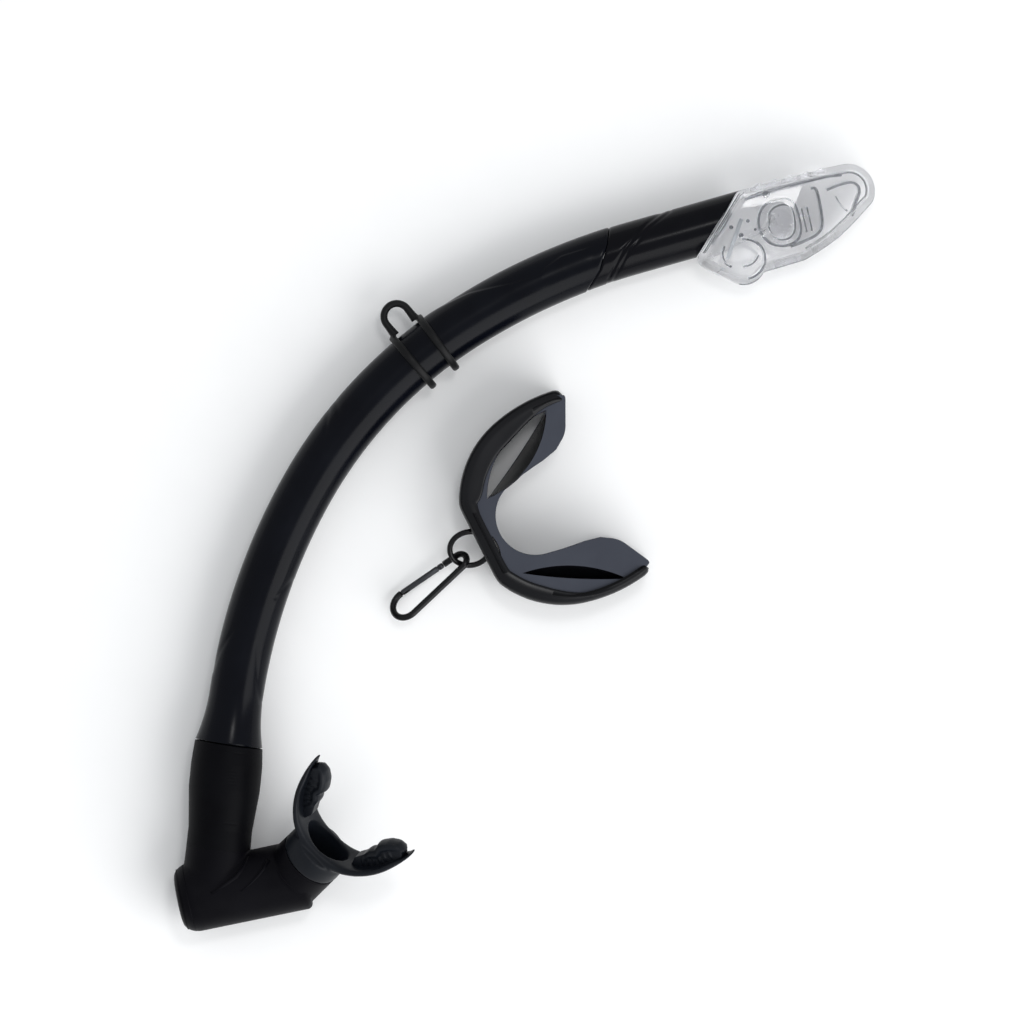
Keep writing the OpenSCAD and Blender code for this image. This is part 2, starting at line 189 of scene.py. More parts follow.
def swept(name, path, radius, material, sides=16, closed=False, flat=1.0, up=(0, 0, 1)):
    """A rod carried along a path of points; flat squeezes it along up."""
    path = [Vector(p) for p in path]
    count = len(path)
    rings = []
    for i, p in enumerate(path):
        before = path[(i - 1) % count] if closed or i else p
        after = path[(i + 1) % count] if closed or i < count - 1 else p
        along = (after - before).normalized()
        side = Vector(up).cross(along).normalized()
        rise = along.cross(side)
        r = radius(i / (count - 1)) if callable(radius) else radius
        rings.append([p + side * r * math.cos(2 * math.pi * k / sides)
                      + rise * r * flat * math.sin(2 * math.pi * k / sides) for k in range(sides)])
    return skin(name, rings, material, closed=closed)


def prism(name, outline, low, high, material, place=None, holes=()):
    """A flat outline with holes, raised from low to high in its own plane or at a placing matrix."""
    place = place or Matrix.Identity(4)
    loops = [[Vector((p[0], p[1], 0)) for p in loop] for loop in (outline, *holes)]
    flat = [p for loop in loops for p in loop]
    count = len(flat)
    points = [place @ Vector((p.x, p.y, z)) for z in (low, high) for p in flat]
    faces = []
    for triangle in tessellate_polygon(loops):
        faces += [tuple(triangle), tuple(count + i for i in reversed(triangle))]
    first = 0
    for loop in loops:
        size = len(loop)
        for k in range(size):
            i, j = first + k, first + (k + 1) % size
            faces.append((i, j, j + count, i + count))
        first += size
    return mesh(name, points, faces, material, smooth=False)


def arc(centre, radius, start, stop, count):
    return [Vector(centre) + heading(start + (stop - start) * i / count) * radius for i in range(count + 1)]


# ---- Materials -----------------------------------------------------------------
def nodes_of(name):
    material = bpy.data.materials.new(name)
    material.use_nodes = True
    tree = material.node_tree
    shader = next(n for n in tree.nodes if n.type == "BSDF_PRINCIPLED")
    return material, tree, shader


def fill(node, values):
    for name, value in values.items():
        node.inputs[name].default_value = value


def noise(tree, scale, detail=4.0, roughness=0.5):
    place = tree.nodes.new("ShaderNodeTexCoord")
    texture = tree.nodes.new("ShaderNodeTexNoise")
    fill(texture, {"Scale": scale, "Detail": detail, "Roughness": roughness})
    tree.links.new(place.outputs["Object"], texture.inputs["Vector"])
    return texture.outputs["Fac"]


def ranged(tree, value, low, high):
    span = tree.nodes.new("ShaderNodeMapRange")
    fill(span, {"From Min": 0.3, "From Max": 0.7, "To Min": low, "To Max": high})
    tree.links.new(value, span.inputs["Value"])
    return span.outputs["Result"]


def tinted(tree, value, dark, light):
    ramp = tree.nodes.new("ShaderNodeValToRGB")
    for stop, at, colour in zip(ramp.color_ramp.elements, (0.32, 0.68), (dark, light)):
        stop.position, stop.color = at, (*colour, 1)
    tree.links.new(value, ramp.inputs["Fac"])
    return ramp.outputs["Color"]


def bumped(tree, shader, heights):
    """Chains one bump per (value, strength, distance in mm)."""
    normal = None
    for value, strength, distance in heights:
        bump = tree.nodes.new("ShaderNodeBump")
        fill(bump, {"Strength": strength, "Distance": distance * MM})
        tree.links.new(value, bump.inputs["Height"])
        if normal:
            tree.links.new(normal, bump.inputs["Normal"])
        normal = bump.outputs["Normal"]
    tree.links.new(normal, shader.inputs["Normal"])


def moulded(name, dark, light, rough, grain, grain_depth, specular, metal=0.0):
    """Moulded plastic, rubber or coated wire: mottled colour and gloss over a fine grain."""
    material, tree, shader = nodes_of(name)
    broad = noise(tree, 38, 5, 0.6)
    fine = noise(tree, grain, 3, 0.55)
    tree.links.new(tinted(tree, broad, dark, light), shader.inputs["Base Color"])
    tree.links.new(ranged(tree, broad, rough[0], rough[1]), shader.inputs["Roughness"])
    bumped(tree, shader, [(fine, 0.35, grain_depth), (noise(tree, 120, 2), 0.12, 0.05)])
    fill(shader, {"Metallic": metal, "Specular IOR Level": specular})
    return material


def clear(name, tint, rough, cover):
    """Clear moulded plastic with a faint waviness; cover is the share of the light that it bends."""
    material, tree, shader = nodes_of(name)
    wave = noise(tree, 90, 3, 0.5)
    brighter = tuple(min(1, c * 1.03) for c in tint)
    tree.links.new(tinted(tree, wave, tint, brighter), shader.inputs["Base Color"])
    tree.links.new(ranged(tree, wave, rough[0], rough[1]), shader.inputs["Roughness"])
    bumped(tree, shader, [(wave, 0.2, 0.06)])
    fill(shader, {"Transmission Weight": 1.0, "IOR": 1.46, "Alpha": cover})
    return material


BARREL = moulded("barrel_gloss", (0.0012, 0.0016, 0.0034), (0.0024, 0.0030, 0.0056),
    (0.18, 0.25), 900, 0.006, 0.09)
UPPER = moulded("upper_gloss", (0.0014, 0.0015, 0.0028), (0.0026, 0.0027, 0.0044),
    (0.15, 0.22), 900, 0.006, 0.09)
SLEEVE = moulded("sleeve_silicone", (0.0012, 0.0012, 0.0020), (0.0026, 0.0027, 0.0038),
    (0.44, 0.54), 2600, 0.02, 0.05)
CHAMBER = moulded("chamber_matte", (0.0016, 0.0015, 0.0026), (0.0032, 0.0031, 0.0046),
    (0.42, 0.52), 2200, 0.02, 0.05)
MOUTH = moulded("mouth_silicone", (0.0030, 0.0040, 0.0062), (0.0062, 0.0078, 0.0112),
    (0.36, 0.46), 1800, 0.015, 0.16)
KEEPER = moulded("keeper_rubber", (0.0036, 0.0038, 0.0042), (0.0062, 0.0064, 0.0070),
    (0.36, 0.46), 2400, 0.02, 0.14)
RIM = moulded("clip_gloss", (0.0022, 0.0023, 0.0034), (0.0042, 0.0044, 0.0060),
    (0.24, 0.34), 900, 0.006, 0.2)
PLATE = moulded("clip_matte", (0.040, 0.044, 0.058), (0.048, 0.053, 0.068),
    (0.50, 0.60), 2400, 0.02, 0.12)
WIRE = moulded("black_metal", (0.0036, 0.0036, 0.0042), (0.0066, 0.0066, 0.0074),
    (0.18, 0.28), 1200, 0.008, 0.2)
GATE = moulded("gate_metal", (0.035, 0.036, 0.040), (0.07, 0.072, 0.078),
    (0.26, 0.36), 1500, 0.01, 0.5, metal=0.9)
INSERT = moulded("insert_plastic", (0.009, 0.0095, 0.011), (0.016, 0.017, 0.019),
    (0.4, 0.5), 1600, 0.02, 0.3)
SEAL = moulded("seal_silicone", (0.56, 0.59, 0.62), (0.66, 0.69, 0.72),
    (0.35, 0.45), 1600, 0.02, 0.4)
SHELL = clear("clear_shell", (0.95, 0.95, 0.965), (0.0, 0.01), 0.8)
# Clear rib plastic tinted dark grey: the ribs, beads, seam and step are real, and their dark tint is
# painted shade standing for the dark edge lines that refraction gives them
RIB = clear("clear_rib_painted_shade", (0.26, 0.27, 0.30), (0.0, 0.01), 0.8)
# Pale plastic for thin rods beside the head's ribs and its tip step: a painted highlight, standing for the
# glints on the clear ribs
PAINTED_HIGHLIGHT = moulded("painted_highlight_edge", (0.86, 0.87, 0.89), (0.94, 0.95, 0.96),
    (0.2, 0.3), 900, 0.006, 0.5)
FLOAT = clear("float_clear", (0.90, 0.90, 0.92), (0.0, 0.02), 0.45)


# ---- The barrel's route ----------------------------------------------------------
AXIS_Z = 15.5
BARREL_R = 12.0
UPPER_R = 11.7
BARREL_WALL, UPPER_WALL = 2.2, 1.9
START = Vector((-128.3, -85.1, AXIS_Z))
START_HEADING = 81.3
START_LEN = 22.0
BENDS = ((267.0, 20.5), (205.0, 29.1), (287.0, 15.9))
TOP_LEN = 38.0


def on_route(s):
    """Point and heading at a distance s along the barrel's axis."""
    place, turn = START.copy(), START_HEADING
    if s <= START_LEN:
        return place + heading(turn) * s, turn
    place += heading(turn) * START_LEN
    s -= START_LEN
    for radius, degrees in BENDS:
        length = math.radians(degrees) * radius
        centre = place + heading(turn - 90) * radius
        if s <= length:
            angle = math.degrees(s / radius)
            return centre + heading(turn + 90 - angle) * radius, turn - angle
        place = centre + heading(turn + 90 - degrees) * radius
        turn -= degrees
        s -= length
    return place + heading(turn) * s, turn


SPLICE_S = START_LEN + sum(math.radians(t) * r for r, t in BENDS)
HEAD_JOINT, TOP_HEADING = on_route(SPLICE_S + TOP_LEN)
CUT_ANGLE = 59.0

# Lines moulded into the barrel, as (distance along, place across) points: +1 is the outer side of
# the curve, -1 the inner side
SEAM = ((293.5, 1.0), (290.5, 0.4), (284, -0.45), (275.5, -1.0))
WRAP_LINES = (((48, 0.6), (39, 0.88), (30, 1.02)), ((46, -0.45), (28, -0.72), (20, -0.95)),
              ((151, 0.95), (142, 0.5)), ((156, 0.95), (150, 0.3)), ((78, -0.95), (68, -0.6)))
PANEL_LINE = ((206, 1.08), (228, 0.84), (246, 0.38), (258, 0.22), (263, 0.40), (270, 0.55), (279, 0.50))
LINE_REACH = 6.0


def line_distance(s, u, line):
    """How far (mm) a place on the barrel is from a moulded line; positive on its outer side."""
    best, sign = LINE_REACH, 1
    here = Vector((s, u * BARREL_R, 0))
    for a, b in zip(line, line[1:]):
        start, stop = Vector((a[0], a[1] * BARREL_R, 0)), Vector((b[0], b[1] * BARREL_R, 0))
        run = stop - start
        t = min(1, max(0, (here - start).dot(run) / run.length_squared))
        gap = (here - start - run * t).length
        if gap < best:
            best = gap
            sign = 1 if run.cross(here - start).z > 0 else -1
    return best * sign


def seam_at(u):
    """Distance along the axis of the slanted seam between the soft barrel and the rigid upper tube."""
    for (s1, u1), (s0, u0) in zip(SEAM, SEAM[1:]):
        if u >= u0:
            return s0 + (s1 - s0) * (u - u0) / (u1 - u0)
    return SEAM[-1][0]


def groove(distance, width, depth):
    return -depth * math.exp(-(distance / width) ** 2)


def barrel_radius(s, u):
    flare = 3.0 * max(0, 1 - s / START_LEN) ** 2
    r = BARREL_R - 0.12 + flare
    r -= 0.35 * smooth_step(1.0, 0.1, seam_at(u) - s)
    for line in WRAP_LINES:
        gap = line_distance(s, u, line)
        r += groove(gap, 0.9, 0.2)
    if s > 200:
        gap = line_distance(s, u, PANEL_LINE)
        if abs(gap) < LINE_REACH:
            r += 0.45 * (smooth_step(-0.6, 0.6, -gap) - 0.5) * (1 - abs(gap) / LINE_REACH)
    return r


def tube_rings(start_at, stop_at, count, sides, radius):
    """Rings along the route; each place across (-1 to 1) has its own start and end distances."""
    rings = []
    for i in range(count + 1):
        ring = []
        for k in range(sides):
            angle = 2 * math.pi * k / sides
            u = math.cos(angle)
            s = start_at(u) + (stop_at(u) - start_at(u)) * i / count
            centre, turn = on_route(s)
            r = radius(s, u)
            ring.append(centre + heading(turn + 90) * u * r + Vector((0, 0, math.sin(angle) * r)))
        rings.append(ring)
    return rings


def build_barrel():
    sides = 128
    foot, middle = 0.15, 240.0
    low = tube_rings(lambda u: foot, lambda u: middle, 300, sides, barrel_radius)
    high = tube_rings(lambda u: middle, lambda u: seam_at(u) - 0.1, 80, sides, barrel_radius)
    bore = tube_rings(lambda u: foot, lambda u: seam_at(u) - 0.1, 40, sides,
                      lambda s, u: BARREL_R - BARREL_WALL)
    piece = skin("barrel_skin", low + high[1:] + list(reversed(bore)), BARREL, closed=True)
    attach(piece, "barrel")
    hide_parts("barrel_flare", "barrel_low", "barrel_mid", "barrel_high")


COLLAR_LINE = ((319.5, 1.08), (309.5, 0.72), (297, 0.02), (286.5, -0.85))


def upper_radius(s, u):
    gap = line_distance(s, u, COLLAR_LINE)
    dimple = math.hypot(s - 325, (u - 0.42) * UPPER_R)
    r = UPPER_R - 0.05 + groove(gap, 0.8, 0.32) + groove(gap - 2.2, 0.7, 0.2) + groove(dimple, 1.3, 0.4)
    return r - 0.3 * smooth_step(1.0, 0.1, s - seam_at(u))


def build_upper_tube():
    """The rigid upper tube, its end cut on the slant of the head's joint."""
    slant = UPPER_R / math.tan(math.radians(CUT_ANGLE - TOP_HEADING))
    sides = 160

    def start(u):
        return seam_at(u) + 0.1

    def stop(u):
        return SPLICE_S + TOP_LEN + u * slant - 0.1

    outside = tube_rings(start, stop, 150, sides, upper_radius)
    bore = tube_rings(start, stop, 8, sides, lambda s, u: UPPER_R - UPPER_WALL)
    piece = skin("upper_tube_skin", outside + list(reversed(bore)), UPPER, closed=True)
    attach(piece, "barrel")
    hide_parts("upper_tube")


# ---- Sleeve, chamber and mouthpiece ------------------------------------------------
SLEEVE_HEADING = 84.3
SLEEVE_LEN = 45.5
SLEEVE_BORE_R = 11.5
# Distances of the short grip lines from the sleeve's top
RIB_MARKS = (11.5, 12.9, 14.3, 15.7, 17.1)


def build_sleeve():
    down = -heading(SLEEVE_HEADING)
    side = heading(SLEEVE_HEADING + 90)
    outline = ((0.3, 14.2), (0.35, 14.9), (0.9, 15.05), (9, 15.7), (20, 15.7), (30, 14.75), (38, 14.05),
               (SLEEVE_LEN + 1.2, 14.15))

    def radius(d):
        for (a, ra), (b, rb) in zip(outline, outline[1:]):
            if d <= b:
                return ra + (rb - ra) * (d - a) / (b - a)
        return outline[-1][1]

    tilt = math.tan(math.radians(SLEEVE_HEADING - START_HEADING))
    steps, sides = 190, 96
    rings = []
    for i in range(-1, steps + 2):
        d = 0.3 + (SLEEVE_LEN + 0.8) * min(steps, max(0, i)) / steps
        ring = []
        for k in range(sides):
            angle = 2 * math.pi * k / sides
            u, rise = math.cos(angle), math.sin(angle)
            if i < 0 or i > steps:
                r = SLEEVE_BORE_R
            else:
                # A faint line below the top, short grip lines on both faces, a longer one near the foot
                r = radius(d) + groove(d - 3.4, 0.45, 0.12 * smooth_step(0.9, 0.5, abs(u)))
                r += sum(groove(d - at, 0.38, 0.16 * smooth_step(0.34, 0.22, abs(u))) for at in RIB_MARKS)
                r += groove(d - 34.5, 0.45, 0.16 * smooth_step(0.62, 0.4, abs(u)))
            slide = -tilt * u * r * max(0, 1 - d / 6)
            ring.append(START + down * (d + slide) + side * u * r + Vector((0, 0, rise * r)))
        rings.append(ring)
    piece = skin("sleeve_skin", rings, SLEEVE, capped=False)
    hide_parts("sleeve")
    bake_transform(piece)


CHAMBER_END = Vector((-148.9, -153.8, AXIS_Z))
CHAMBER_TILT = 11.7
CHAMBER_LEN = 56.0
CHAMBER_R = 15.5
PORT_BASE = joint_pos("mouthpiece_swivel")
PORT = joint_axis("mouthpiece_swivel")
ACROSS = Vector((0, 0, 1)).cross(PORT).normalized()
TALL = ACROSS.cross(PORT)
PORT_SEAT = 16.0


def in_port(x, y, z):
    """X down the port's face, Y across the bite arch and Z out along the port, in the frame's axes."""
    return PORT_BASE + TALL * x + ACROSS * y + PORT * z


# The fin's edge between the sleeve's neck and the port, as places seen from above
FIN = ((-110.6, -136.0), (-112.6, -139.8), (-115.4, -143.2), (-118.8, -146.6), (-122.4, -149.4))


# The collar's lower edge where the neck runs into the chamber
COLLAR_EDGE = ((-119.4, -134.6), (-121.3, -139.2), (-124.8, -143.3), (-129.7, -146.7), (-135.4, -150.4))


def on_chamber(x, y, proud):
    along = heading(CHAMBER_TILT)
    away = Vector((x, y, AXIS_Z)) - CHAMBER_END
    side = away - along * away.dot(along)
    return Vector((x, y, AXIS_Z + math.sqrt((CHAMBER_R + proud) ** 2 - side.length_squared)))


def build_chamber():
    along = heading(CHAMBER_TILT)
    r = CHAMBER_R - 0.1
    shoulder_and_highlight = [(2.9 + 0.5 * i, cap_radius(2.9 + 0.5 * i)) for i in range(8)]
    foot = [(CHAMBER_LEN - 1.6, r), (CHAMBER_LEN - 0.1, r - 1.3), (CHAMBER_LEN, 0)]
    profile = [(2.9, 0)] + shoulder_and_highlight + foot
    body = lathe("chamber_body", CHAMBER_END, along, profile, CHAMBER)
    down = -heading(SLEEVE_HEADING)
    neck = [(SLEEVE_LEN + 0.05, 0), (SLEEVE_LEN + 0.05, 14.1), (55, 14.4), (68, 15.0), (70, 0)]
    collar = lathe("collar", START, down, neck, CHAMBER)
    port = lathe("port", PORT_BASE, PORT, [(0, 0), (0, 14.2), (PORT_SEAT + 0.05, 14.1),
                 (PORT_SEAT + 0.05, 0)], CHAMBER)
    piece = joined("chamber_skin", [body, collar, port])
    fused(piece, 0.5, 4)
    cut(piece, lathe("bore", PORT_BASE, PORT, [(-9, 0), (-9, 8.8), (30, 8.8), (30, 0)], CHAMBER, 48))
    crest = [on_chamber(x, y, -0.25) for x, y in FIN]
    fin = swept("fin", crest, lambda t: 0.3 + 0.75 * (1 - t), CHAMBER, 14)
    edge = swept("collar_edge", [on_chamber(x, y, -0.45) for x, y in COLLAR_EDGE],
                 lambda t: 0.35 + 0.75 * math.sin(math.pi * (0.12 + 0.76 * t)), CHAMBER, 14)
    arc_turns = [math.radians(232 + 3 * i) for i in range(18)]
    seam = [PORT_BASE + PORT * 7.4 + (TALL * math.sin(a) - ACROSS * math.cos(a)) * 14.0 for a in arc_turns]
    bead = swept("port_bead", seam, lambda t: 0.15 + 0.45 * math.sin(math.pi * t), CHAMBER, 12,
                 up=tuple(PORT))
    for part in (piece, fin, edge, bead):
        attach(part, "mouth_unit")
    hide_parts("chamber")


def cap_radius(d):
    """The chamber's outer radius at a distance from its end, rounded towards the end."""
    return 9.4 + 5.9 * math.sqrt(max(0, 1 - ((6.4 - min(6.4, d)) / 8) ** 2))


def build_purge_cover():
    """The rounded cap on the chamber's end, with its row of water slots."""
    out = -heading(CHAMBER_TILT)
    rows = [-1.6 + 5.2 * i / 12 for i in range(13)]
    profile = [(1.6, 0)] + [(-d, cap_radius(d) + 0.06) for d in rows] + [(-3.6, 13.5), (0, 13.5), (0, 0)]
    piece = lathe("purge_cover_skin", CHAMBER_END, out, profile, CHAMBER)
    side = heading(CHAMBER_TILT + 90)
    place = Matrix(((0, side.x, out.x), (0, side.y, out.y), (1, side.z, out.z))).to_4x4()
    place = Matrix.Translation(CHAMBER_END) @ place
    for i in range(-2, 3):
        reach, across = 7 - 0.9 * abs(i), 4 * i
        slot = rectangle(-reach, reach, across - 0.9, across + 0.9)
        cut(piece, prism("tool", slot, -1, 3, CHAMBER, place))
    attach(piece, "mouth_unit")
    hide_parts("purge_cover")


ARCH_CENTRE = 60.0
ARCH_HALF = 30.0
ARCH_DEPTH = 39.0


def arch_point(angle, inset):
    """A place on the bite arch: angle 0 is its middle, 90 degrees a tip."""
    a, b = ARCH_HALF - inset, ARCH_DEPTH - inset * 1.35
    return math.sin(math.radians(angle)) * a, ARCH_CENTRE - b * math.cos(math.radians(angle))


def arch_half_height(angle):
    t = abs(angle) / 90
    return 10.0 - 1.2 * t - 5.6 * smooth_step(0.68, 1.0, t)


def build_mouthpiece():
    rings = []
    span = 86
    for i in range(73):
        angle = -span + 2 * span * i / 72
        tall = arch_half_height(angle)
        end = smooth_step(0.8, 1.0, abs(angle) / span)
        thick = 3.0 + 1.8 * math.exp(-(angle / 30) ** 2) - 1.9 * end
        ring = []
        for k in range(28):
            a = 2 * math.pi * k / 28
            c, s = math.cos(a), math.sin(a)
            x = tall * math.copysign(abs(s) ** 0.5, s)
            depth = thick / 2 * (1 + math.copysign(abs(c) ** 0.7, c))
            y, z = arch_point(angle, 0.1 + depth + 0.8 * (x / 10) ** 2)
            ring.append(in_port(x, y, z))
        rings.append(ring)
    arch = skin("arch", rings, MOUTH)
    foot = PORT_SEAT + 0.12
    profile = [(foot, 0), (foot, 14.1), (PORT_SEAT + 3, 14.1), (22, 13.9), (25, 13.2), (27, 0)]
    neck = lathe("neck", PORT_BASE, PORT, profile, MOUTH)
    piece = joined("mouthpiece_skin", [arch, neck])
    fused(piece, 0.5, 2)
    slot = [in_port(7.2 * math.cos(t), 10.8 * math.sin(t), 0) - PORT_BASE
            for t in [2 * math.pi * k / 48 for k in range(48)]]
    tool = skin("tool", [[PORT_BASE + PORT * d + p * g for p in slot]
                         for d, g in ((-4, 0.98), (24, 0.95), (27, 1.0), (40, 1.4))], MOUTH)
    cut(piece, tool)
    fused(piece, 0.42, 6)
    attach(piece, "mouthpiece")
    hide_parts("mouthpiece")


# The pad's inner edge, as (across, out along the port) points
PAD_EDGE = ((25.2, 56.2), (21.6, 55.6), (18.6, 52.8), (16.6, 49.2), (17.4, 46.0), (15.4, 43.0),
            (15.0, 39.6), (13.2, 35.4))
PAD_HALF = 3.4


def tooth_radius(t):
    return 0.25 + 0.4 * math.sin(math.pi * (0.1 + 0.8 * t))


def build_bite_pads():
    for side in (-1, 1):
        blocks = []
        arm = [arch_point(angle, 2.0) for angle in range(32, 82, 3)]
        rings = [[in_port(x, side * y, z) for y, z in arm + list(PAD_EDGE)] for x in (-PAD_HALF, PAD_HALF)]
        blocks.append(skin("pad", rings, MOUTH))
        # A raised, lobed lip along the inner edge
        lip = [in_port(0, side * (y + 1.6), z - 0.6) for y, z in reversed(PAD_EDGE)]
        lip = [a.lerp(b, t / 4) for a, b in zip(lip, lip[1:]) for t in range(4)] + lip[-1:]
        blocks.append(swept("lip", lip, lambda t: 0.8 + 1.5 * math.sin(math.pi * t) ** 0.5, MOUTH, 16,
                            flat=2.2, up=tuple(TALL)))
        # Grip teeth across both faces
        for n in range(6):
            y, z = arch_point(44 + 5.6 * n, 4.0)
            w, v = arch_point(44 + 5.6 * n, 7.6)
            for x in (-PAD_HALF - 0.1, PAD_HALF + 0.1):
                row = [in_port(x, side * (y + (w - y) * t), z + (v - z) * t) for t in (0, 0.35, 0.7, 1)]
                blocks.append(swept("tooth", row, tooth_radius, MOUTH, 12, up=tuple(TALL)))
        pad = joined("bite_pad_%s" % ("left" if side < 0 else "right"), blocks)
        fused(pad, 0.38, 4)
        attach(pad, "mouthpiece")
        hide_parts("bite_pads")


# ---- Keeper --------------------------------------------------------------------
KEEPER_S = START_LEN + math.radians(BENDS[0][1]) * BENDS[0][0] + math.radians(22.5) * BENDS[1][0]
KEEPER_PITCH = 13.8


def build_keeper():
    blocks = []
    for side in (-1, 1):
        centre, turn = on_route(KEEPER_S + side * KEEPER_PITCH / 2)
        out, along = heading(turn + 90), heading(turn)
        rings = []
        for k in range(97):
            angle = 2 * math.pi * k / 96
            spoke = out * math.cos(angle) + Vector((0, 0, math.sin(angle)))
            # Thicker on the inner side of the curve, where the ring's tail stands proud
            proud = 2.1 + 0.9 * max(0, -math.cos(angle)) ** 3
            ring = []
            for q in range(14):
                b = 2 * math.pi * q / 14
                across = math.copysign(abs(math.cos(b)) ** 0.7, math.cos(b))
                rise = math.copysign(abs(math.sin(b)) ** 0.7, math.sin(b))
                r = BARREL_R + 0.25 + proud / 2 + proud / 2 * rise
                ring.append(centre + spoke * r + along * across * 1.7)
            rings.append(ring)
        blocks.append(skin("ring", rings[:-1], KEEPER, closed=True))
    centre, turn = on_route(KEEPER_S)
    out, along = heading(turn + 90), heading(turn)
    leg, reach = KEEPER_PITCH / 2 - 1.2, BARREL_R + 7.6
    root = BARREL_R + 1.4
    path = [centre + along * leg + out * (root + (reach - root) * i / 6) for i in range(6)]
    path += [centre + out * reach + (along * math.cos(a) + out * math.sin(a)) * leg
             for a in [math.pi * i / 24 for i in range(25)]]
    path += [centre - along * leg + out * (reach - (reach - root) * i / 6) for i in range(1, 7)]
    blocks.append(swept("loop", path, lambda t: 1.62 + 0.5 * abs(2 * t - 1) ** 6, KEEPER, 18, flat=1.15))
    piece = joined("keeper_skin", blocks)
    fused(piece, 0.35, 3)
    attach(piece, "keeper")
    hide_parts("keeper")


# ---- Clear head ----------------------------------------------------------------
HEAD_AXIS = 14.0
HEAD_HALF = 14.3
HEAD_PLACE = Matrix.Translation(HEAD_JOINT) @ Matrix.Rotation(math.radians(HEAD_AXIS), 4, "Z")


def in_head(a, b, z=0.0):
    return HEAD_PLACE @ Vector((a, b, z))


def head_outline():
    """The head's edge in its own plane, from the joint's top corner round the tip to the chin."""
    points = [Vector((11.9, 11.7, 0)), Vector((30, 12.0, 0)), Vector((50, 12.1, 0))]
    points += arc((59.5, 0.3, 0), 11.7, 84, -38, 14)
    throat = ((56.5, -15.0), (50.0, -18.6), (42.4, -21.6), (34.0, -24.3), (24.0, -24.8), (18.2, -25.0))
    points += [Vector((a, b, 0)) for a, b in throat]
    points += arc((7.4, -19.2, 0), 9.6, -38, -140, 9)
    points += [Vector((-8.0, -19.2, 0)), Vector((-12.0, -15.0, 0)), Vector((-11.8, -11.7, 0))]
    points += [Vector((-11.8, -11.7, 0)).lerp(Vector((11.9, 11.7, 0)), i / 10) for i in range(1, 10)]
    return points


def resampled(points, count):
    lengths = [0.0]
    loop = points + points[:1]
    for a, b in zip(loop, loop[1:]):
        lengths.append(lengths[-1] + (b - a).length)
    out, k = [], 0
    for i in range(count):
        want = lengths[-1] * i / count
        while lengths[k + 1] < want:
            k += 1
        t = (want - lengths[k]) / max(1e-9, lengths[k + 1] - lengths[k])
        out.append(loop[k].lerp(loop[k + 1], t))
    return out


def inset(points, distance):
    count = len(points)
    moved = []
    for i, p in enumerate(points):
        along = points[(i + 1) % count] - points[i - 1]
        moved.append(p + Vector((along.y, -along.x, 0)).normalized() * distance)
    return moved


def head_height(a, b):
    """Half thickness of the head's crowned faces."""
    return HEAD_HALF - 2.6 * smooth_step(30, 74, a) - 0.0022 * (b + 6) ** 2


# The head's edge profile, as (how far in from the outline, height as a share of the half thickness)
HEAD_PROFILE = ((0, 0), (0, 0.5), (0.06, 0.56), (0.4, 0.62), (2.9, 0.93), (3.3, 0.965), (3.8, 0.985),
                (4.6, 1.0))
HEAD_WALL = 1.7


def head_rings(inset_by, wall):
    """Rings of the head's closed form, from its rear face over the edge to its front face."""
    edge = resampled(head_outline(), 180)
    profile = [(n, -h) for n, h in reversed(HEAD_PROFILE)] + list(HEAD_PROFILE[1:])
    levels = []
    for depth, share in profile:
        ring = inset(edge, inset_by + depth)
        for _ in range(2):
            ring = [(ring[i - 1] + ring[i] * 2 + ring[(i + 1) % len(ring)]) / 4 for i in range(len(ring))]
        levels.append([Vector((p.x, p.y, share * (head_height(p.x, p.y) - wall))) for p in ring])
    centre = Vector((28, -6, 0))
    for t in (0.12, 0.3, 0.5, 0.7, 0.9):
        for sign, face in ((1, levels[-1]), (-1, levels[0])):
            ring = [Vector((p.x, p.y, 0)) for p in face]
            ring = [q.lerp(centre, t / 2) for q in ring]
            ring = [Vector((q.x, q.y, sign * (head_height(q.x, q.y) - wall))) for q in ring]
            levels = levels + [ring] if sign > 0 else [ring] + levels
    return [[HEAD_PLACE @ p for p in ring] for ring in levels]


def clear_part(piece):
    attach(piece, "barrel")


def build_head_shell():
    outside = skin("outer", head_rings(0, 0), SHELL)
    inside = skin("inner", head_rings(HEAD_WALL, HEAD_WALL), SHELL)
    piece = joined("head_shell_skin", [outside, inside])
    # Open at the slanted joint, at the air slots along the back edge and under the chin
    place = Matrix.Translation(HEAD_JOINT) @ Matrix.Rotation(math.radians(CUT_ANGLE - 90), 4, "Z")
    cut(piece, prism("tool", rectangle(-40, 0.2, -60, 60), -40, 40, SHELL, place))
    for i in range(5):
        low = 20 + 7 * i
        cut(piece, prism("tool", rectangle(low, low + 4.5, 7, 16), -5, 5, SHELL, HEAD_PLACE))
    cut(piece, prism("tool", rectangle(20, 32, -29, -20), -6, 6, SHELL, HEAD_PLACE))
    clear_part(piece)
    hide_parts("head_shell_front", "head_shell_rear")


